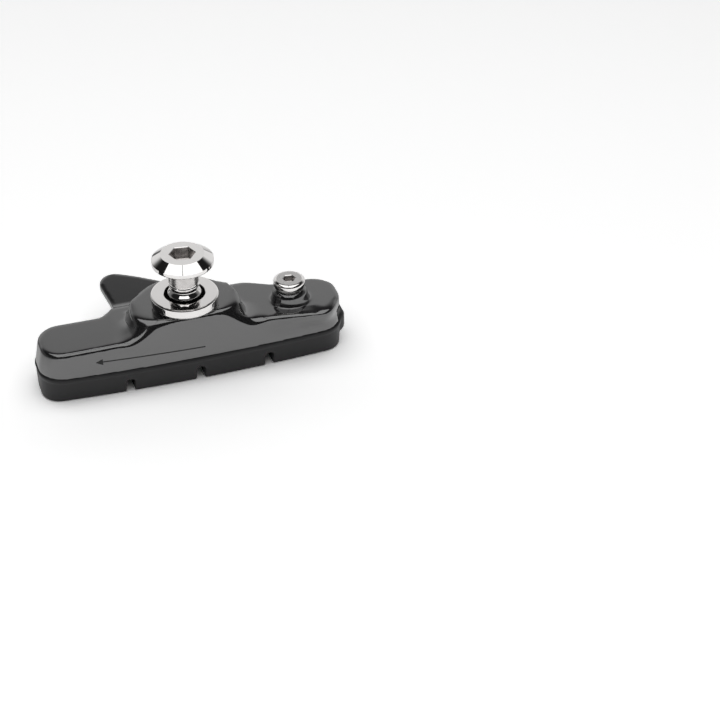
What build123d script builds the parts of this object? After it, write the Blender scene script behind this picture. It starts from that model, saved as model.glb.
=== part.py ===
"""Road bicycle rim brake shoe: cast holder, slide-in rubber pad, pad screw, fixing bolt and washer.

It lies on its friction face. Millimetres. The origin is where the bolt axis meets the friction face,
+Z points away from the rim, -X to the closed front end and +Y to the wheel's hub.
"""

import os
from math import radians, sin, sqrt, tan

from build123d import *

# Curve that the shoe follows along the rim
rim_radius = 305.0
curve_middle_x = 1.1

# Rubber pad
pad_length = 55.0
pad_front_reach = 26.8
face_width = 9.2
side_flare = 1.1
end_flare = 0.15
pad_corner = 3.4
block_height = 4.6
face_edge_radius = 0.4
flange_thickness = 0.7
flange_proud = 0.1
groove_count = 3
groove_pitch = 12.75
groove_width = 1.5
groove_depth = 3.0
tongue_mouth_width = 7.0
tongue_top_width = 8.0
tongue_height = 2.8
tongue_corner = 2.0
tail_reach = 1.0
tail_drop = 2.8
tail_rise = 1.1
tail_edge_radius = 0.9
channel_clearance = 0.1

# Holder arms
arm_width = 11.6
arm_height = 5.1
arm_draft = 10.0
arm_corner = 4.8
front_wall = 2.2
rear_setback = 0.1
front_fall_angle = 2.4
top_edge_radius = 0.75

# Round boss under the bolt
boss_rise = 3.0
boss_top_radius = 8.8
boss_foot_radius = 12.0
boss_wall_radius = 9.7
boss_wall_edge = 1.3

# Wheel-guide fin on the hub side
fin_reach = 19.2
fin_lean = 9.2
fin_lobe_radius = 2.7
fin_lobe_start = 64.0
fin_lobe_sweep = 121.0
fin_waist_x = 6.2
fin_waist_y = 10.1
fin_hip_x = 13.0
fin_hip_y = 7.3
fin_neck_x = 11.4
fin_neck_y = 9.0
fin_root_front = 18.5
fin_root_rear = 22.0
fin_root_depth = 3.0
fin_root_entry = 2.0
fin_shoulder_reach = 7.0
fin_shoulder_radius = 1.5
fin_valley_reach = 9.0
fin_valley_drop = 1.2
fin_valley_radius = 2.5
fin_rise_angle = 4.8
fin_gusset_reach = 12.2
fin_gusset_angle = 12.5
fin_strip_angle = 15.5
fin_edge_thickness = 1.4
fin_edge_radius = 0.5
fin_scoop_radius = 7.0
fin_rear_scoop = ((10.4, 9.8), (-5.6, 21.0))
fin_front_scoop = ((-13.0, 7.5), (-13.2, 18.5))

# Fixing bolt, M6
thread_diameter = 6.0
thread_end_gap = 0.5
thread_chamfer = 0.5
thread_rise = 3.8
relief_diameter = 5.2
relief_width = 0.35
collar_diameter = 5.6
collar_width = 0.6
shank_diameter = 5.3
grip_length = 5.2
head_diameter = 10.9
head_top_diameter = 7.6
head_foot_diameter = 8.0
head_foot_cone = 1.4
head_rim = 0.3
head_top_cone = 1.2
hex_across_flats = 4.0
hex_turn = -9.0
hex_depth = 3.0

# Washer
washer_diameter = 12.0
washer_bore = 7.2
washer_foot_diameter = 10.4
washer_foot_cone = 0.7
washer_rim = 1.6
washer_edge_radius = 0.35

# Pad screw, M3
screw_x = 19.15
screw_thread_diameter = 3.0
screw_head_diameter = 5.7
screw_head_height = 1.9
screw_foot_diameter = 4.6
screw_foot_cone = 0.5
screw_crown_diameter = 5.0
screw_crown_cone = 0.4
screw_hex = 2.0
screw_hex_depth = 1.2
screw_boss_diameter = 5.8
screw_boss_height = 2.4
screw_boss_fillet = 1.0
screw_boss_skirt = 0.1
screw_boss_edge = 0.9
screw_entry = 1.2
screw_notch_clearance = 0.2

# Heights and places that follow from the sizes above
face_half = face_width / 2
curve_centre_y = rim_radius - face_half
flare_half = face_half + side_flare
lip_z = block_height + flange_thickness
tongue_top_z = lip_z + tongue_height
channel_roof_z = tongue_top_z + channel_clearance
arm_top_z = lip_z + arm_height
boss_top_z = arm_top_z + boss_rise
washer_top_z = boss_top_z + washer_foot_cone + washer_rim
screw_seat_z = arm_top_z + screw_boss_height
pad_front_x = -pad_front_reach
pad_rear_x = pad_front_x + pad_length
holder_front_x = pad_front_x - end_flare
holder_rear_x = pad_rear_x + end_flare - rear_setback
tail_end_x = holder_rear_x + tail_reach
channel_front_x = holder_front_x + front_wall
arm_half = arm_width / 2
wall_rise = boss_top_z - lip_z
wall_inset = wall_rise * tan(radians(arm_draft))
fin_valley_z = arm_top_z - fin_valley_drop
fin_root_y = arm_half - fin_root_depth


def rim_point(x, half):
    """Point beside the bar's middle line, on the rim side for a positive half width."""
    radius = curve_centre_y + half
    return (x, curve_centre_y - sqrt(radius**2 - (x - curve_middle_x) ** 2))


def bar_plan(height, half, x_from, x_to, corner):
    """Plan of a bar with rounded corners that follows the rim, as a sketch at this height."""
    with BuildSketch(Plane.XY.offset(height)) as plan:
        with BuildLine():
            stations = (x_from, (x_from + x_to) / 2, x_to)
            near = ThreePointArc(*[rim_point(x, half) for x in stations])
            far = ThreePointArc(*[rim_point(x, -half) for x in stations])
            Line(near @ 0, far @ 0)
            Line(near @ 1, far @ 1)
        make_face()
        fillet(plan.vertices(), corner)
    return plan.sketch


def fin_top_z(y):
    """Height of the fin's back surface at this distance from the bolt axis."""
    return fin_valley_z + (y - fin_valley_reach) * tan(radians(fin_rise_angle))


def back_profile():
    """Half section of the holder's back: a flat arm that rises in one smooth curve to the round boss."""
    with BuildSketch(Plane.XZ) as profile:
        with BuildLine():
            flank = Spline(
                (boss_top_radius, boss_top_z),
                (boss_foot_radius, arm_top_z),
                tangents=((1, 0), (1, 0)),
            )
            Polyline(
                flank @ 1,
                (pad_length, arm_top_z),
                (pad_length, lip_z),
                (0, lip_z),
                (0, boss_top_z),
                flank @ 0,
            )
        make_face()
    return profile.sketch


def is_upright(face):
    """True for a wall that leans no more than twice the holder's draft."""
    return abs(face.normal_at().Z) < sin(radians(2 * arm_draft))


# Rubber pad
screw_spot = Vector(screw_x, 0, 0)
screw_plane = Plane(origin=screw_spot, x_dir=(1, 0, 0), z_dir=(0, -1, 0))
with BuildPart() as tail:
    tail_half = tongue_mouth_width / 2
    extrude(
        bar_plan(lip_z - tail_drop, tail_half, pad_rear_x - 2 * tail_half, tail_end_x, tongue_corner),
        amount=tail_drop + tail_rise,
    )
    fillet(tail.faces().filter_by(Axis.Z).edges(), tail_edge_radius)

with BuildPart() as pad_insert:
    loft(
        [
            bar_plan(0, face_half, pad_front_x, pad_rear_x, pad_corner),
            bar_plan(
                block_height,
                flare_half,
                pad_front_x - end_flare,
                pad_rear_x + end_flare,
                pad_corner + side_flare,
            ),
        ],
        ruled=True,
    )
    fillet(pad_insert.faces().sort_by(Axis.Z)[0].edges(), face_edge_radius)
    # cross grooves with round bottoms
    with BuildSketch(Plane.XZ):
        with Locations((curve_middle_x, 0)):
            with GridLocations(groove_pitch, 0, groove_count, 1):
                SlotOverall(2 * groove_depth, groove_width, rotation=90)
    extrude(amount=2 * flare_half, both=True, mode=Mode.SUBTRACT)
    # thin flange that covers the joint with the holder
    extrude(
        bar_plan(
            block_height,
            flare_half + flange_proud,
            pad_front_x - end_flare - flange_proud,
            pad_rear_x + end_flare + flange_proud,
            pad_corner + side_flare + flange_proud,
        ),
        amount=flange_thickness,
    )
    # dovetail tongue in the holder's channel
    tongue_front_x = channel_front_x + channel_clearance
    loft(
        [
            bar_plan(lip_z, tongue_mouth_width / 2, tongue_front_x, holder_rear_x, tongue_corner),
            bar_plan(tongue_top_z, tongue_top_width / 2, tongue_front_x, holder_rear_x, tongue_corner),
        ],
        ruled=True,
    )
    # rounded tail at the open end, to pull the pad out
    add(tail.part)
    # notch for the tip of the pad screw
    with BuildSketch(Plane.XY.offset(tongue_top_z)):
        with Locations(screw_spot):
            Circle(screw_thread_diameter / 2 + screw_notch_clearance)
    extrude(amount=-screw_entry - screw_notch_clearance, mode=Mode.SUBTRACT)

pad_insert.part.label = "pad_insert"

# Outer form of the holder's arms, with drafted walls
with BuildPart() as arm_form:
    loft(
        [
            bar_plan(lip_z, arm_half, holder_front_x, holder_rear_x, arm_corner),
            bar_plan(
                boss_top_z,
                arm_half - wall_inset,
                holder_front_x + wall_inset,
                holder_rear_x - wall_inset,
                arm_corner - wall_inset,
            ),
        ],
        ruled=True,
    )

# Wedge above the front arm, whose back falls a little to its end
with BuildPart() as front_fall:
    with BuildSketch(Plane.XZ):
        with BuildLine():
            fall_start_x = -boss_foot_radius - top_edge_radius
            Polyline(
                (fall_start_x, arm_top_z),
                (-pad_length, arm_top_z),
                (-pad_length, arm_top_z - (pad_length + fall_start_x) * tan(radians(front_fall_angle))),
                close=True,
            )
        make_face()
    extrude(amount=pad_length, both=True)

# Plan of the fin, a leaf with a round lobe at its tip
with BuildSketch(Plane.XY) as leaf:
    with BuildLine():
        lobe = Vector(-fin_lean, fin_reach - fin_lobe_radius)
        tip = CenterArc(lobe, fin_lobe_radius, fin_lobe_start, fin_lobe_sweep)
        rear = Spline(
            tip @ 0,
            (fin_waist_x, fin_waist_y),
            (fin_hip_x, fin_hip_y),
            (fin_root_rear, rim_point(fin_root_rear, -arm_half)[1] - fin_root_entry),
            tangents=(tip % 0 * -1, (1, 0)),
        )
        front = Spline(
            (-fin_root_front, rim_point(-fin_root_front, -arm_half)[1] - fin_root_entry),
            (-fin_neck_x, fin_neck_y),
            tip @ 1,
            tangents=((1, 0), tip % 1 * -1),
        )
        Polyline(rear @ 1, (fin_root_rear, fin_root_y), (-fin_root_front, fin_root_y), front @ 0)
    make_face()

# Wheel-guide fin: a section across the holder, cut to a leaf in plan and scooped on the rim side
with BuildPart() as fin:
    end_y = fin_reach + fin_lobe_radius
    gusset_z = lip_z + (fin_gusset_reach - arm_half) * tan(radians(fin_gusset_angle))
    strip_z = gusset_z + (end_y - fin_gusset_reach) * tan(radians(fin_strip_angle))
    with BuildSketch(Plane.YZ):
        with BuildLine():
            back = FilletPolyline(
                (fin_root_y, arm_top_z),
                (fin_shoulder_reach, arm_top_z),
                (fin_valley_reach, fin_valley_z),
                (end_y, fin_top_z(end_y)),
                radius=[fin_shoulder_radius, fin_valley_radius],
            )
            Polyline(
                back @ 1,
                (end_y, strip_z),
                (fin_gusset_reach, gusset_z),
                (arm_half, lip_z),
                (fin_root_y, lip_z),
                back @ 0,
            )
        make_face()
    extrude(amount=pad_length, both=True)
    extrude(leaf.sketch, amount=boss_top_z, mode=Mode.INTERSECT)
    add(front_fall.part, mode=Mode.SUBTRACT)
    # rounded edge round the fin's back
    outline = fin.faces().filter_by(GeomType.PLANE, reverse=True).filter_by(is_upright).edges()
    fillet([e for e in outline if e.center().Z > fin_valley_z], fin_edge_radius)
    # two scoops leave a thin blade with a rib down its middle
    for start, end in (fin_rear_scoop, fin_front_scoop):
        low = Vector(*start, fin_top_z(start[1]) - fin_edge_thickness - fin_scoop_radius)
        high = Vector(*end, fin_top_z(end[1]) - fin_edge_thickness - fin_scoop_radius)
        with BuildSketch(Plane(origin=low, z_dir=high - low)):
            Circle(fin_scoop_radius)
        extrude(amount=pad_length, both=True, mode=Mode.SUBTRACT)

# Holder
with BuildPart() as holder:
    # back of the holder: flat arms that rise to the round boss
    revolve(back_profile(), axis=Axis.Z)
    add(arm_form.part, mode=Mode.INTERSECT)
    add(front_fall.part, mode=Mode.SUBTRACT)
    # rounded edge between the back and the walls
    wall_edges = holder.faces().filter_by(is_upright).edges()
    fillet([e for e in wall_edges if e.bounding_box().min.Z > channel_roof_z], top_edge_radius)
    add(fin.part)
    # round wall of the boss on the hub side, above the fin
    wall_foot_z = fin_valley_z - fin_edge_thickness / 2
    with BuildSketch(Plane.XZ):
        with BuildLine():
            wall_line = FilletPolyline(
                (0, boss_top_z),
                (boss_wall_radius, boss_top_z),
                (boss_wall_radius, wall_foot_z),
                radius=boss_wall_edge,
            )
            Polyline(wall_line @ 1, (0, wall_foot_z), wall_line @ 0)
        make_face()
    revolve(axis=Axis.Z, revolution_arc=180)
    # seat of the pad screw
    with BuildSketch(screw_plane):
        with BuildLine():
            seat_half = screw_boss_diameter / 2
            seat_foot = seat_half + screw_boss_fillet + screw_boss_skirt
            seat_line = FilletPolyline(
                (0, screw_seat_z),
                (seat_half, screw_seat_z),
                (seat_half, arm_top_z),
                (seat_foot, arm_top_z),
                radius=[screw_boss_edge, screw_boss_fillet],
            )
            Polyline(seat_line @ 1, (seat_foot, channel_roof_z), (0, channel_roof_z), seat_line @ 0)
        make_face()
    revolve(axis=Axis(screw_spot, (0, 0, 1)))
    # channel for the pad's tongue, open at the rear end
    loft(
        [
            bar_plan(
                lip_z,
                tongue_mouth_width / 2 + channel_clearance,
                channel_front_x,
                tail_end_x + tongue_corner,
                tongue_corner,
            ),
            bar_plan(
                channel_roof_z,
                tongue_top_width / 2 + channel_clearance,
                channel_front_x,
                tail_end_x + tongue_corner,
                tongue_corner,
            ),
        ],
        ruled=True,
        mode=Mode.SUBTRACT,
    )
    # threaded holes
    with BuildSketch(Plane.XY.offset(lip_z)):
        Circle(thread_diameter / 2)
        with Locations(screw_spot):
            Circle(screw_thread_diameter / 2)
    extrude(amount=wall_rise, mode=Mode.SUBTRACT)

holder.part.label = "holder"

# Washer
with BuildPart() as ring_washer:
    with BuildSketch(Plane.XZ) as ring:
        with BuildLine():
            Polyline(
                (washer_bore / 2, boss_top_z),
                (washer_foot_diameter / 2, boss_top_z),
                (washer_diameter / 2, boss_top_z + washer_foot_cone),
                (washer_diameter / 2, washer_top_z),
                (washer_bore / 2, washer_top_z),
                close=True,
            )
        make_face()
        fillet(ring.vertices().sort_by(Axis.Y)[-2:], washer_edge_radius)
    revolve(axis=Axis.Z)

ring_washer.part.label = "ring_washer"

# Fixing bolt
head_foot_z = washer_top_z + grip_length
with BuildPart() as fixing_bolt:
    thread_foot_z = channel_roof_z + thread_end_gap
    thread_top_z = boss_top_z + thread_rise
    collar_z = thread_top_z + relief_width
    head_rim_z = head_foot_z + head_foot_cone
    head_top_z = head_rim_z + head_rim + head_top_cone
    with BuildSketch(Plane.XZ):
        with BuildLine():
            Polyline(
                (0, thread_foot_z),
                (thread_diameter / 2 - thread_chamfer, thread_foot_z),
                (thread_diameter / 2, thread_foot_z + thread_chamfer),
                (thread_diameter / 2, thread_top_z),
                (relief_diameter / 2, thread_top_z),
                (relief_diameter / 2, collar_z),
                (collar_diameter / 2, collar_z),
                (collar_diameter / 2, collar_z + collar_width),
                (shank_diameter / 2, collar_z + collar_width),
                (shank_diameter / 2, head_foot_z),
                (head_foot_diameter / 2, head_foot_z),
                (head_diameter / 2, head_rim_z),
                (head_diameter / 2, head_rim_z + head_rim),
                (head_top_diameter / 2, head_top_z),
                (0, head_top_z),
                close=True,
            )
        make_face()
    revolve(axis=Axis.Z)
    with BuildSketch(Plane.XY.offset(head_top_z)):
        RegularPolygon(hex_across_flats / 2, 6, major_radius=False, rotation=hex_turn)
    extrude(amount=-hex_depth, mode=Mode.SUBTRACT)

fixing_bolt.part.label = "fixing_bolt"

# Pad screw
with BuildPart() as pad_screw:
    screw_tip_z = tongue_top_z - screw_entry
    crown_z = screw_seat_z + screw_head_height
    with BuildSketch(screw_plane):
        with BuildLine():
            Polyline(
                (0, screw_tip_z),
                (screw_thread_diameter / 2, screw_tip_z),
                (screw_thread_diameter / 2, screw_seat_z),
                (screw_foot_diameter / 2, screw_seat_z),
                (screw_head_diameter / 2, screw_seat_z + screw_foot_cone),
                (screw_head_diameter / 2, crown_z - screw_crown_cone),
                (screw_crown_diameter / 2, crown_z),
                (0, crown_z),
                close=True,
            )
        make_face()
    revolve(axis=Axis(screw_spot, (0, 0, 1)))
    with BuildSketch(Plane.XY.offset(crown_z)):
        with Locations(screw_spot):
            RegularPolygon(screw_hex / 2, 6, major_radius=False)
    extrude(amount=-screw_hex_depth, mode=Mode.SUBTRACT)

pad_screw.part.label = "pad_screw"

# Step files
os.makedirs("parts", exist_ok=True)
for piece in (holder, pad_insert, fixing_bolt, ring_washer, pad_screw):
    export_step(piece.part, f"parts/{piece.part.label}.step")
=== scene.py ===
import math

import bpy
from mathutils import Euler, Matrix, Vector


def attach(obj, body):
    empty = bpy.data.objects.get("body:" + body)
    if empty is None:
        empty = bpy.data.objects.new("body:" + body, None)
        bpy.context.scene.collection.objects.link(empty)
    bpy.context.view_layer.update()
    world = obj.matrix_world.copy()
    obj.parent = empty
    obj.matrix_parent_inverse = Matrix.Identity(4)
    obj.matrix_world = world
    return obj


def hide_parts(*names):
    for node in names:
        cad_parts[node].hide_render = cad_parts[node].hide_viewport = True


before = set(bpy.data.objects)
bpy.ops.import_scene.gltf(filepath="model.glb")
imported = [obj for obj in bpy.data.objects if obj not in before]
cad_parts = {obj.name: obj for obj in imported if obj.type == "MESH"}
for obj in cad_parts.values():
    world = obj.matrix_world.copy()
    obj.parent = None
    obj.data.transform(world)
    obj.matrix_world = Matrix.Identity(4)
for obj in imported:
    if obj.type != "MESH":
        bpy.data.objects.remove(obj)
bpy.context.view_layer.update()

# Rubber pad: a block of black brake rubber, moulded in one piece with its three cross grooves, its
# thin flange and the dovetail tongue that slides into the holder from the open end.
mm = 0.001
cad_merge = 0.001 * mm
mesh_cell = 0.2 * mm
pad_rounds = 4
rubber_dark = (0.0085, 0.0085, 0.0095)
rubber_pale = (0.0125, 0.0122, 0.0132)
rubber_grain = 0.006 * mm


def pick(piece):
    """Selects this piece alone and makes it the active one."""
    bpy.ops.object.select_all(action="DESELECT")
    bpy.context.view_layer.objects.active = piece
    piece.select_set(True)


def apply(piece, modifier):
    """Applies the piece's modifier."""
    pick(piece)
    bpy.ops.object.modifier_apply(modifier=modifier.name)


def rub(piece, rounds, spot=None, reach=None):
    """Rubs the edges soft, all over, or fully within half the reach of a spot and less beyond."""
    smooth = piece.modifiers.new("rub", "SMOOTH")
    smooth.factor = 0.5
    smooth.iterations = rounds
    if spot:
        group = piece.vertex_groups.new(name="corner")
        middle = Vector(spot) * mm
        for vertex in piece.data.vertices:
            share = 1 - (vertex.co - middle).length / (reach * mm)
            if share > 0:
                group.add([vertex.index], min(1.0, 2 * share), "REPLACE")
        smooth.vertex_group = group.name
    apply(piece, smooth)
    piece.vertex_groups.clear()


def soft_copy(node, name, rounds):
    """A copy of a CAD node, merged and remeshed finely, with all its edges softened as by a mould."""
    piece = bpy.data.objects.new(name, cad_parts[node].data.copy())
    bpy.context.scene.collection.objects.link(piece)
    pick(piece)
    bpy.ops.object.mode_set(mode="EDIT")
    bpy.ops.mesh.select_all(action="SELECT")
    bpy.ops.mesh.remove_doubles(threshold=cad_merge)
    bpy.ops.object.mode_set(mode="OBJECT")
    remesh = piece.modifiers.new("remesh", "REMESH")
    remesh.mode = "VOXEL"
    remesh.voxel_size = mesh_cell
    apply(piece, remesh)
    rub(piece, rounds)
    bpy.ops.object.shade_smooth()
    return piece


def new_material(name):
    """A new material: itself, its tree, its shader and the object's own coordinates."""
    material = bpy.data.materials.new(name)
    material.use_nodes = True
    tree = material.node_tree
    place = tree.nodes.new("ShaderNodeTexCoord")
    return material, tree, tree.nodes["Principled BSDF"], place.outputs["Object"]


def noise(tree, place, waves, detail):
    """The value of a noise texture with so many waves per metre."""
    node = tree.nodes.new("ShaderNodeTexNoise")
    node.inputs["Scale"].default_value = waves
    node.inputs["Detail"].default_value = detail
    tree.links.new(place, node.inputs["Vector"])
    return node.outputs["Fac"]


def spread(tree, value, low, high, span=(0.3, 0.7)):
    """The value over a span, spread from low to high."""
    node = tree.nodes.new("ShaderNodeMapRange")
    node.inputs["From Min"].default_value = span[0]
    node.inputs["From Max"].default_value = span[1]
    node.inputs["To Min"].default_value = low
    node.inputs["To Max"].default_value = high
    tree.links.new(value, node.inputs["Value"])
    return node.outputs["Result"]


def tint(tree, share, dark, light):
    """A colour between dark and light."""
    node = tree.nodes.new("ShaderNodeMix")
    node.data_type = "RGBA"
    node.inputs["A"].default_value = (*dark, 1)
    node.inputs["B"].default_value = (*light, 1)
    tree.links.new(share, node.inputs["Factor"])
    return node.outputs["Result"]


def bump(tree, value, height):
    """A bump of this height in metres."""
    node = tree.nodes.new("ShaderNodeBump")
    node.inputs["Strength"].default_value = 1.0
    node.inputs["Distance"].default_value = height
    tree.links.new(value, node.inputs["Height"])
    return node.outputs["Normal"]


def dress(piece, material):
    """The piece gets this material alone."""
    piece.data.materials.clear()
    piece.data.materials.append(material)


rubber, tree, shader, place = new_material("brake_rubber")
bloom = noise(tree, place, waves=160, detail=4)
grain = noise(tree, place, waves=5200, detail=2)
colour = tint(tree, spread(tree, bloom, low=0, high=1), rubber_dark, rubber_pale)
tree.links.new(colour, shader.inputs["Base Color"])
tree.links.new(spread(tree, bloom, low=0.46, high=0.56), shader.inputs["Roughness"])
shader.inputs["IOR"].default_value = 1.42
tree.links.new(bump(tree, grain, rubber_grain), shader.inputs["Normal"])

pad = soft_copy("pad_insert", "brake_pad", pad_rounds)
dress(pad, rubber)
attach(pad, "root")
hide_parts("pad_insert")

# Holder: one aluminium casting with the pad channel, the bolt's boss, the screw's boss and the
# wheel-guide fin. It is polished all over and given a gloss anthracite coat.
coat_colour = (0.016, 0.016, 0.0165, 1)
coat_peel = 0.0012 * mm
cast_rounds = 1
polish_rounds = 5

coat, tree, shader, place = new_material("anthracite_coat")
shader.inputs["Base Color"].default_value = coat_colour
shader.inputs["IOR"].default_value = 2.2
smudge = noise(tree, place, waves=220, detail=5)
tree.links.new(spread(tree, smudge, low=0.07, high=0.12), shader.inputs["Roughness"])
peel = noise(tree, place, waves=1300, detail=1)
tree.links.new(bump(tree, peel, coat_peel), shader.inputs["Normal"])


def ramp(value, span):
    """A soft step from 0 at the start of the span to 1 at its end."""
    start, end = span
    share = min(1.0, max(0.0, (value - start) / (end - start)))
    return share * share * (3 - 2 * share)


def reshaped(radius, rings):
    """The radius moved as the rings are, which are pairs of an old and a new radius."""
    for (old_low, new_low), (old_high, new_high) in zip(rings, rings[1:]):
        if old_low <= radius < old_high:
            return new_low + (new_high - new_low) * (radius - old_low) / (old_high - old_low)
    return radius


# the bolt's boss, in millimetres as all the casting's sizes below
boss_rings = [(7.0, 7.0), (8.8, 9.5), (10.4, 10.1), (12.0, 11.2), (13.6, 13.6)]
boss_rise = (9.4, 10.4)
boss_fin_side = (4.0, 6.0)
boss_rim_side = (-5.0, -2.6)
closed_end_hold = 0.8
open_end_hold = 0.5


def steep_flank(x, y, z):
    """The boss with a steep flank, which fades out at the fin and is held back at the rim side."""
    hold = closed_end_hold if x < 0 else open_end_hold
    share = ramp(z, boss_rise) * (1 - ramp(y, boss_fin_side))
    share *= 1 - hold * (1 - ramp(y, boss_rim_side))
    radius = math.hypot(x, y)
    moved = radius + (reshaped(radius, boss_rings) - radius) * share
    if share > 0 and abs(y) < moved:
        x = math.copysign(math.sqrt(moved**2 - y**2), x)
    return x


# the two corners where the boss runs out into the rim-side wall
corner_slope = 1.25
corner_pivot = 10.95
corner_low = 9.4
corner_high = 13.4
corner_rise = (8.6, 10.0)
corner_rim_side = (-4.6, -2.4)
corner_near = (2.5, 6.0)
corner_far = (11.0, 14.5)
open_corner_share = 0.85


def leaning_corner(x, y, z):
    """The corners lean in towards the bolt as they rise, a little less at the open end's side."""
    lean = corner_slope * (min(max(z, corner_low), corner_high) - corner_pivot)
    lean *= ramp(z, corner_rise) * (1 - ramp(y, corner_rim_side))
    lean *= ramp(abs(x), corner_near) * (1 - ramp(abs(x), corner_far))
    return x + lean if x < 0 else x - open_corner_share * lean


# the arm's two sides from the boss to the open end, which move only outside the drum's foot
arm_rise = (6.2, 10.0)
drum_clear = (3.8, 4.1)
end_clear = (2.4, 4.4)
end_inner_run = (22.0, 24.0)
end_outer_run = (21.0, 24.0)
rim_spread = 1.92
rim_spread_run = (11.0, 25.0)
rim_spread_fade = (23.5, 28.0)
rim_spread_loss = 0.8
hub_swell = 0.8
hub_swell_run = (7.0, 11.0)
hub_swell_fade = (14.0, 23.0)
hub_draw = 0.5
hub_draw_side = (1.8, 4.4)
hub_draw_run = (21.0, 27.0)


def arm_side(x, y, z):
    """The rim side spreads towards the open end, and the hub side swells first and then draws in."""
    rise = ramp(z, arm_rise)
    inner = drum_clear[0] + (end_clear[0] - drum_clear[0]) * ramp(x, end_inner_run)
    outer = drum_clear[1] + (end_clear[1] - drum_clear[1]) * ramp(x, end_outer_run)
    edge = rise * ramp(abs(y), (inner, outer))
    if y < 0:
        kept = 1 - rim_spread_loss * ramp(x, rim_spread_fade)
        return y - rim_spread * edge * ramp(x, rim_spread_run) * kept
    y += hub_swell * edge * ramp(x, hub_swell_run) * (1 - ramp(x, hub_swell_fade))
    return y - hub_draw * rise * ramp(y, hub_draw_side) * ramp(x, hub_draw_run)


# the screw's boss and the upper edge of the open end
drum_x = 19.15
drum_foot = 10.0
drum_slope = (10.4, 12.6)
drum_foot_rings = [(1.4, 1.4), (2.9, 3.25), (3.9, 3.6), (4.7, 4.7)]
drum_top_rings = [(1.4, 1.4), (2.9, 2.95), (3.9, 3.6), (4.7, 4.7)]
end_shift = 0.8
end_run = (20.0, 26.0)
end_rise = (5.0, 10.4)


def short_drum(x, y, z):
    """The screw's boss is a short drum, a little wider at its foot."""
    radius = math.hypot(x - drum_x, y)
    if z <= drum_foot or radius == 0:
        return x, y
    share = ramp(z, drum_slope)
    moved = reshaped(radius, drum_foot_rings) * (1 - share) + reshaped(radius, drum_top_rings) * share
    grow = moved / radius
    return drum_x + (x - drum_x) * grow, y * grow


def upright_end(x, z):
    """The open end is drawn out at its top, so that it stands upright."""
    return x + end_shift * ramp(x, end_run) * ramp(z, end_rise)


holder = soft_copy("holder", "holder_casting", cast_rounds)
for vertex in holder.data.vertices:
    x, y, z = vertex.co / mm
    x = steep_flank(x, y, z)
    x = leaning_corner(x, y, z)
    y = arm_side(x, y, z)
    x, y = short_drum(x, y, z)
    x = upright_end(x, z)
    vertex.co = Vector((x, y, z)) * mm

# the boss's corners are rubbed more than the rest: how often, where and how far around
corner_rubs = [
    (110, (-7.8, -4.9, 11.7), 4.4),
    (90, (8.4, -4.9, 11.8), 4.2),
    (160, (-9.9, -1.2, 11.9), 4.6),
    (200, (9.9, -2.6, 11.7), 4.6),
]
rub(holder, polish_rounds)
for rounds, spot, reach in corner_rubs:
    rub(holder, rounds, spot, reach)
dress(holder, coat)
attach(holder, "root")
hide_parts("holder")

# Arrow: a black print on the rim-side wall that shows which way the wheel turns. It is a thin film,
# printed on the coat in one pass, here as a line and a head a few hundredths of a millimetre thick.
ink_dark = (0.006, 0.006, 0.006)
ink_pale = (0.012, 0.012, 0.012)
arrow_tip = (-17.54, 7.74)
arrow_neck = (-16.28, 7.72)
arrow_end = (1.95, 7.3)
tip_half = 0.02
head_half = 0.55
line_half = 0.1
head_parts = (8, 8)
line_parts = (60, 1)
before_wall = -9.0
film_lift = 0.015 * mm
film_thickness = 0.03 * mm

ink, tree, shader, place = new_material("black_print")
speckle = noise(tree, place, waves=4000, detail=2)
colour = tint(tree, spread(tree, speckle, low=0, high=1), ink_dark, ink_pale)
tree.links.new(colour, shader.inputs["Base Color"])
tree.links.new(spread(tree, speckle, low=0.5, high=0.62), shader.inputs["Roughness"])


def strip(start, end, start_half, end_half, parts):
    """A flat strip before the wall, between two places in x and z and with a half width at each."""
    bpy.ops.object.select_all(action="DESELECT")
    bpy.ops.mesh.primitive_grid_add(x_subdivisions=parts[0], y_subdivisions=parts[1], size=2)
    piece = bpy.context.object
    for vertex in piece.data.vertices:
        share = (vertex.co.x + 1) / 2
        half = start_half + (end_half - start_half) * share
        x = start[0] + (end[0] - start[0]) * share
        z = start[1] + (end[1] - start[1]) * share + vertex.co.y * half
        vertex.co = Vector((x, before_wall, z)) * mm
    return piece


line = strip(arrow_neck, arrow_end, line_half, line_half, line_parts)
arrow = strip(arrow_tip, arrow_neck, tip_half, head_half, head_parts)
arrow.name = "printed_arrow"
line.select_set(True)
bpy.ops.object.join()
wrap = arrow.modifiers.new("wrap", "SHRINKWRAP")
wrap.target = holder
wrap.wrap_method = "PROJECT"
wrap.use_project_y = True
wrap.use_positive_direction = True
wrap.use_negative_direction = True
wrap.offset = film_lift
apply(arrow, wrap)
film = arrow.modifiers.new("film", "SOLIDIFY")
film.thickness = film_thickness
film.offset = 0.0
apply(arrow, film)
bpy.ops.object.mode_set(mode="EDIT")
bpy.ops.mesh.select_all(action="SELECT")
bpy.ops.mesh.normals_make_consistent(inside=False)
bpy.ops.object.mode_set(mode="OBJECT")
dress(arrow, ink)
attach(arrow, "root")

# Pad screw: a small steel socket screw, turned and chrome plated, that goes through the holder's
# small boss into a notch of the pad's tongue.
screw_place = (drum_x * mm, 0.0)
screw_foot = 7.0
screw_seat = 12.8
screw_waist = 14.1
screw_thread = 1.45
screw_head = 2.85
screw_skirt = 0.55
screw_crown = 0.6
screw_top = screw_waist + screw_crown
screw_flat = screw_head - screw_crown
screw_key = 2.0
screw_socket = 1.2
# a narrow ring beside a round edge keeps the flat next to it flat in the light
flat_rim = 0.1
flat_band = 0.01
key_turn = math.radians(21)
mouth_height = 0.2
mouth_lap = 0.02
drill_point = 0.25
lathe_steps = 160
lathe_merge = 0.002 * mm
sharp_edge = math.radians(30)


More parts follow.
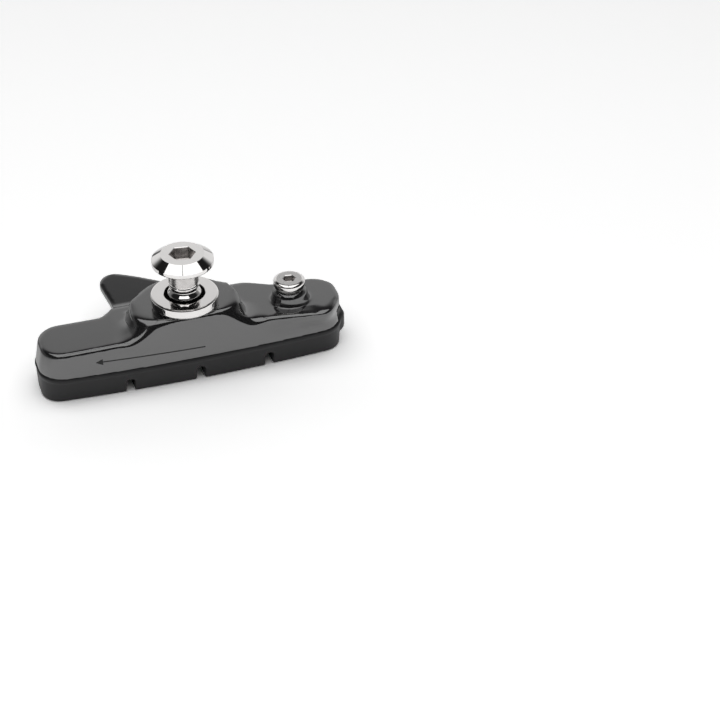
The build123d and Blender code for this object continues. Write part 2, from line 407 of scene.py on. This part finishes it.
def metal(name, dark, light, roughness, grain):
    """A bare or plated metal, hazy between two roughnesses, with a fine grain of this height."""
    material, tree, shader, place = new_material(name)
    shader.inputs["Metallic"].default_value = 1.0
    haze = noise(tree, place, waves=600, detail=4)
    scratches = noise(tree, place, waves=9000, detail=2)
    colour = tint(tree, spread(tree, haze, low=0, high=1), dark, light)
    tree.links.new(colour, shader.inputs["Base Color"])
    tree.links.new(spread(tree, haze, *roughness), shader.inputs["Roughness"])
    tree.links.new(bump(tree, scratches, grain * mm), shader.inputs["Normal"])
    return material


chrome = metal("polished_chrome", (0.79, 0.775, 0.765), (0.81, 0.795, 0.785), (0.03, 0.065), 0.00005)
satin = metal("satin_steel", (0.58, 0.57, 0.565), (0.66, 0.65, 0.64), (0.24, 0.32), 0.0008)
broached = metal("broached_steel", (0.56, 0.54, 0.53), (0.7, 0.68, 0.67), (0.2, 0.3), 0.0012)


def arc(centre, radii, start, end, parts):
    """A round stretch of an outline: its centre, its two radii and its angles in degrees."""
    angles = [math.radians(start + (end - start) * part / parts) for part in range(parts + 1)]
    return [(centre[0] + radii[0] * math.cos(a), centre[1] + radii[1] * math.sin(a)) for a in angles]


def turned(name, outline, centre):
    """A lathe piece: its outline is drawn point by point as radius and height, and spun round."""
    bpy.ops.object.select_all(action="DESELECT")
    bpy.ops.mesh.primitive_plane_add(size=mm, location=(0, 0, 0))
    piece = bpy.context.object
    piece.name = name
    bpy.ops.object.mode_set(mode="EDIT")
    bpy.ops.mesh.select_all(action="SELECT")
    bpy.ops.mesh.merge(type="CENTER")
    points = [Vector((centre[0] + radius * mm, centre[1], z * mm)) for radius, z in outline]
    bpy.ops.transform.translate(value=points[0])
    for start, end in zip(points, points[1:]):
        bpy.ops.mesh.extrude_region_move(TRANSFORM_OT_translate={"value": end - start})
    bpy.ops.mesh.select_all(action="SELECT")
    bpy.ops.mesh.spin(steps=lathe_steps, angle=math.tau, center=(*centre, 0), axis=(0, 0, 1))
    bpy.ops.mesh.select_all(action="SELECT")
    bpy.ops.mesh.remove_doubles(threshold=lathe_merge)
    bpy.ops.mesh.normals_make_consistent(inside=False)
    bpy.ops.object.mode_set(mode="OBJECT")
    return piece


def cut(piece, cutter):
    """Takes the cutter's shape out of the piece."""
    tool = piece.modifiers.new("cut", "BOOLEAN")
    tool.operation = "DIFFERENCE"
    tool.solver = "EXACT"
    tool.object = cutter
    apply(piece, tool)
    bpy.data.objects.remove(cutter)


def key_corner(flats):
    """The radius to the corners of a hexagon with this width across its flats."""
    return flats / 2 / math.cos(math.pi / 6)


def hex_socket(piece, centre, top, flats, depth):
    """A hexagon socket with a drilled bottom and a short countersink at its mouth."""
    corner = key_corner(flats)
    bpy.ops.object.select_all(action="DESELECT")
    bpy.ops.mesh.primitive_cylinder_add(
        vertices=6,
        radius=corner * mm,
        depth=2 * depth * mm,
        end_fill_type="TRIFAN",
        location=(*centre, top * mm),
        rotation=(0, 0, key_turn),
    )
    prism = bpy.context.object
    bpy.ops.object.transform_apply(location=True, rotation=True, scale=True)
    for vertex in prism.data.vertices:
        if vertex.co.z < top * mm and (vertex.co.xy - Vector(centre)).length < corner * mm / 2:
            vertex.co.z -= drill_point * flats * mm
    cut(piece, prism)
    bpy.ops.mesh.primitive_cone_add(
        vertices=6,
        radius1=(corner - mouth_lap) * mm,
        radius2=(corner - mouth_lap + mouth_height) * mm,
        depth=mouth_height * mm,
        location=(*centre, (top - mouth_lap) * mm),
        rotation=(0, 0, key_turn),
    )
    cut(piece, bpy.context.object)


def polish(piece):
    """Smooth shading on the curves, with the sharp edges left sharp."""
    pick(piece)
    bpy.ops.object.shade_smooth_by_angle(angle=sharp_edge)


def paint(piece, material, centre, low, high, inside):
    """The faces between two heights and nearer to the axis than the radius get this material."""
    piece.data.materials.append(material)
    last = len(piece.data.materials) - 1
    for face in piece.data.polygons:
        radius = (face.center.xy - Vector(centre)).length
        if low * mm < face.center.z < high * mm and radius < inside * mm:
            face.material_index = last


def paint_socket(piece, centre, top, flats, depth):
    """The walls and the bottom of a hexagon socket are bare steel, below its countersink."""
    bottom = top - depth - drill_point * flats - flat_rim
    mouth = top - mouth_lap - mouth_height / 2
    paint(piece, broached, centre, bottom, mouth, key_corner(flats) + flat_rim / 2)


screw = turned(
    "pad_screw_chromed",
    [
        (0, screw_foot),
        (screw_thread, screw_foot),
        (screw_thread, screw_seat),
        *arc((screw_head - screw_skirt, screw_waist), (screw_skirt, screw_waist - screw_seat), -90, 0, 6),
        *arc((screw_flat, screw_waist), (screw_crown, screw_crown), 10, 90, 8),
        (screw_flat - flat_rim, screw_top),
        (0, screw_top),
    ],
    screw_place,
)
hex_socket(screw, screw_place, screw_top, screw_key, screw_socket)
polish(screw)
dress(screw, chrome)
paint(screw, satin, screw_place, screw_top - flat_band, screw_top + flat_band, screw_flat + flat_rim / 2)
paint_socket(screw, screw_place, screw_top, screw_key, screw_socket)
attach(screw, "root")
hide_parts("pad_screw")

# Ring washer: a thick turned steel ring with a coned foot and a wide bore, chrome plated, between
# the holder's boss and the caliper arm.
axis_place = (0.0, 0.0)
washer_bore = 3.65
washer_radius = 6.0
washer_foot_radius = 5.2
washer_foot = 13.4
washer_side_low = 14.25
washer_side_high = 15.4
washer_top = 15.7
bore_chamfer = 0.05
edge_round = 0.25
cone_angle = -55

washer_edge = washer_radius - edge_round
washer = turned(
    "ring_washer_chromed",
    [
        (washer_bore, washer_foot),
        (washer_foot_radius, washer_foot),
        *arc((washer_edge, washer_side_low), (edge_round, edge_round), cone_angle, 0, 2),
        (washer_radius, washer_side_low + flat_rim),
        (washer_radius, washer_side_high - flat_rim),
        *arc((washer_edge, washer_side_high), (edge_round, washer_top - washer_side_high), 0, 90, 3),
        (washer_edge - flat_rim, washer_top),
        (washer_bore + bore_chamfer, washer_top),
        (washer_bore, washer_top - bore_chamfer),
        (washer_bore, washer_foot),
    ],
    axis_place,
)
polish(washer)
dress(washer, chrome)
paint(washer, broached, axis_place, washer_foot, washer_top - bore_chamfer, washer_bore + bore_chamfer)
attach(washer, "root")
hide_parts("ring_washer")

# Fixing bolt: a turned steel bolt with a coned head and a hexagon socket, chrome plated. Its thread
# goes into the holder's boss and its bare shank takes the caliper arm.
thread_tip = 2.5
thread_radius = 2.95
thread_foot = 8.7
thread_start = 9.2
thread_end = 15.6
collar_radius = 3.0
collar_low = 15.7
collar_high = 15.85
# the neck that was turned below the bare shank, point by point as radius and height
collar_shoulder = [(2.98, 15.98), (2.92, 16.1), (2.82, 16.22)]
neck_hollow = [(2.56, 16.53), (2.47, 16.66), (2.42, 16.78), (2.4, 16.9), (2.4, 17.35)]
neck_bead = [(2.6, 17.42), (2.72, 17.52), (2.76, 17.66), (2.72, 17.82), (2.58, 17.95), (2.55, 18.1)]
shank_radius = 2.65
shank_low = 18.25
shank_high = 20.5
head_fillet = [(2.68, 20.7), (2.78, 20.85), (3.0, 20.9)]
head_foot_radius = 4.0
head_foot = 20.9
head_radius = 5.45
head_side_low = 22.05
head_side_high = 22.65
head_flat = 3.83
head_top = 23.8
bolt_key = 4.0
bolt_socket = 2.3

# painted shade: the thread sits in the dark gap of the washer's bore and gets a near-black metal that stands
# for the shade in that gap
thread = metal("painted_shade_thread", (0.06, 0.058, 0.055), (0.10, 0.096, 0.09), (0.3, 0.45), 0.003)
bolt = turned(
    "fixing_bolt_chromed",
    [
        (0, thread_foot),
        (thread_tip, thread_foot),
        (thread_radius, thread_start),
        (thread_radius, thread_end),
        (collar_radius, collar_low),
        (collar_radius, collar_high),
        *collar_shoulder,
        *neck_hollow,
        *neck_bead,
        (shank_radius, shank_low),
        (shank_radius, shank_low + flat_rim),
        (shank_radius, shank_high),
        *head_fillet,
        (head_foot_radius, head_foot),
        *arc((head_radius - edge_round, head_side_low), (edge_round, edge_round), cone_angle, 0, 2),
        (head_radius, head_side_low + flat_rim),
        (head_radius, head_side_high),
        (head_flat, head_top),
        (0, head_top),
    ],
    axis_place,
)
hex_socket(bolt, axis_place, head_top, bolt_key, bolt_socket)
polish(bolt)
dress(bolt, chrome)
# painted shade: the thread and the foot of its collar, level with the washer's top and below, get the
# near-black metal
paint(bolt, thread, axis_place, thread_foot - flat_rim, collar_high - flat_rim / 2, collar_radius + flat_rim)
paint(bolt, broached, axis_place, shank_low, head_foot - flat_rim / 2, shank_radius + 2 * flat_rim)
paint_socket(bolt, axis_place, head_top, bolt_key, bolt_socket)
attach(bolt, "root")
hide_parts("fixing_bolt")

# Studio: a floor of white paper, two soft boxes overhead with a narrow gap between them, and a pale
# surround that darkens with height. In mirrors the paper is white as the camera sees it, but painted
# shade makes it less so behind the shoe and dark far to its left, and the surround is pale behind the shoe
# alone.
view_azimuth = math.radians(-18.7875)
right = Vector((math.cos(view_azimuth), math.sin(view_azimuth), 0))
away = Vector((-math.sin(view_azimuth), math.cos(view_azimuth), 0))
hub_side = Vector((0, 1, 0))
floor_size = 6.0
paper_lit = 0.92
paper_seen = 1.52
paper_behind = 1.1
behind_span = (0.002, 0.01)
paper_left = 0.25
left_span = (-0.07, -0.042)


def along(tree, place, direction):
    """How far a place lies along a direction."""
    node = tree.nodes.new("ShaderNodeVectorMath")
    node.operation = "DOT_PRODUCT"
    node.inputs[1].default_value = direction
    tree.links.new(place, node.inputs[0])
    return node.outputs["Value"]


def joined(tree, operation, first, second):
    """Two values joined by an operation of arithmetic."""
    node = tree.nodes.new("ShaderNodeMath")
    node.operation = operation
    tree.links.new(first, node.inputs[0])
    tree.links.new(second, node.inputs[1])
    return node.outputs["Value"]


def grey(level):
    """A grey colour of this level."""
    return (level, level, level)


def covered(tree, under, share, colour):
    """The colour underneath, covered by another one as far as the share says."""
    cover = tint(tree, share, colour, colour)
    tree.links.new(under, cover.node.inputs["A"])
    return cover


bpy.ops.object.select_all(action="DESELECT")
bpy.ops.mesh.primitive_plane_add(size=floor_size, location=(0, 0, 0))
floor = bpy.context.object
floor.name = "floor"
paper, tree, shader, place = new_material("white_paper")
tree.nodes.remove(shader)
sheet = tree.nodes.new("ShaderNodeBsdfDiffuse")
rays = tree.nodes.new("ShaderNodeLightPath").outputs
seen = joined(tree, "MAXIMUM", rays["Is Camera Ray"], rays["Is Glossy Ray"])
behind = spread(tree, along(tree, place, hub_side), low=0, high=1, span=behind_span)
left = spread(tree, along(tree, place, right), low=1, high=0, span=left_span)
shown = tint(tree, seen, grey(paper_lit), grey(paper_seen))
# painted shade: in mirrors the paper is dimmed behind the shoe and far to its left
for part, level in ((behind, paper_behind), (left, paper_left)):
    mirrored = joined(tree, "MULTIPLY", part, rays["Is Glossy Ray"])
    shown = covered(tree, shown, mirrored, grey(level))
tree.links.new(shown, sheet.inputs["Color"])
tree.links.new(sheet.outputs["BSDF"], tree.nodes["Material Output"].inputs["Surface"])
dress(floor, paper)

box_height = 0.60
box_depth = 0.96
box_width = 0.42
box_gap = 0.014
box_offset = -0.21
box_watts = 1.8
for side in (-1, 1):
    lamp_data = bpy.data.lights.new("soft_box", "AREA")
    lamp_data.shape = "RECTANGLE"
    lamp_data.size = box_width
    lamp_data.size_y = box_depth
    lamp_data.energy = box_watts
    lamp = bpy.data.objects.new("soft_box", lamp_data)
    bpy.context.scene.collection.objects.link(lamp)
    spot = right * side * (box_width + box_gap) / 2 + away * box_offset
    lamp.location = (spot.x, spot.y, box_height)
    lamp.rotation_euler = (0, 0, view_azimuth)

wall_up = Vector((0, 0, 1)) - 0.5 * away
wall_span = (0.05, 0.42)
wall_pale = 0.85
wall_dark = 0.05
front_span = (0.35, 0.65)
front_shade = 0.15
side_span = (-0.74, -0.46)
side_shade = 0.25


def fade(tree, value, low, high, span):
    """The value over a span, spread from low to high with soft ends."""
    result = spread(tree, value, low, high, span)
    result.node.interpolation_type = "SMOOTHSTEP"
    return result


world = bpy.data.worlds.new("studio")
bpy.context.scene.world = world
world.use_nodes = True
tree = world.node_tree
tree.nodes.clear()
out = tree.nodes.new("ShaderNodeOutputWorld")
surround = tree.nodes.new("ShaderNodeBackground")
surround.inputs["Color"].default_value = (1, 1, 1, 1)
rays = tree.nodes.new("ShaderNodeLightPath").outputs
direction = tree.nodes.new("ShaderNodeTexCoord").outputs["Generated"]
wall = fade(tree, along(tree, direction, wall_up), wall_pale, wall_dark, wall_span)
toward = along(tree, direction, -away)
around = tree.nodes.new("ShaderNodeMix")
tree.links.new(rays["Is Glossy Ray"], around.inputs["Factor"])
tree.links.new(fade(tree, toward, 1, front_shade, front_span), around.inputs["A"])
tree.links.new(fade(tree, toward, 1, side_shade, side_span), around.inputs["B"])
glow = joined(tree, "MULTIPLY", wall, around.outputs["Result"])
strength = joined(tree, "MAXIMUM", glow, rays["Is Camera Ray"])
tree.links.new(strength, surround.inputs["Strength"])
tree.links.new(surround.outputs["Background"], out.inputs["Surface"])

# Camera: at the photograph's place and angle, with its field of view.
camera_elevation = math.radians(35.117)
camera_place = Vector((-0.0645, -0.2852, 0.2057))
camera_data = bpy.data.cameras.new("camera")
camera_data.lens = 98.95
camera_data.sensor_width = 36.0
camera_data.clip_start = 0.01
camera = bpy.data.objects.new("camera", camera_data)
bpy.context.scene.collection.objects.link(camera)
camera_turn = Euler((math.pi / 2 - camera_elevation, 0, view_azimuth)).to_matrix().to_4x4()
camera.matrix_world = Matrix.Translation(camera_place) @ camera_turn
bpy.context.scene.camera = camera
bpy.context.scene.view_settings.view_transform = "Standard"
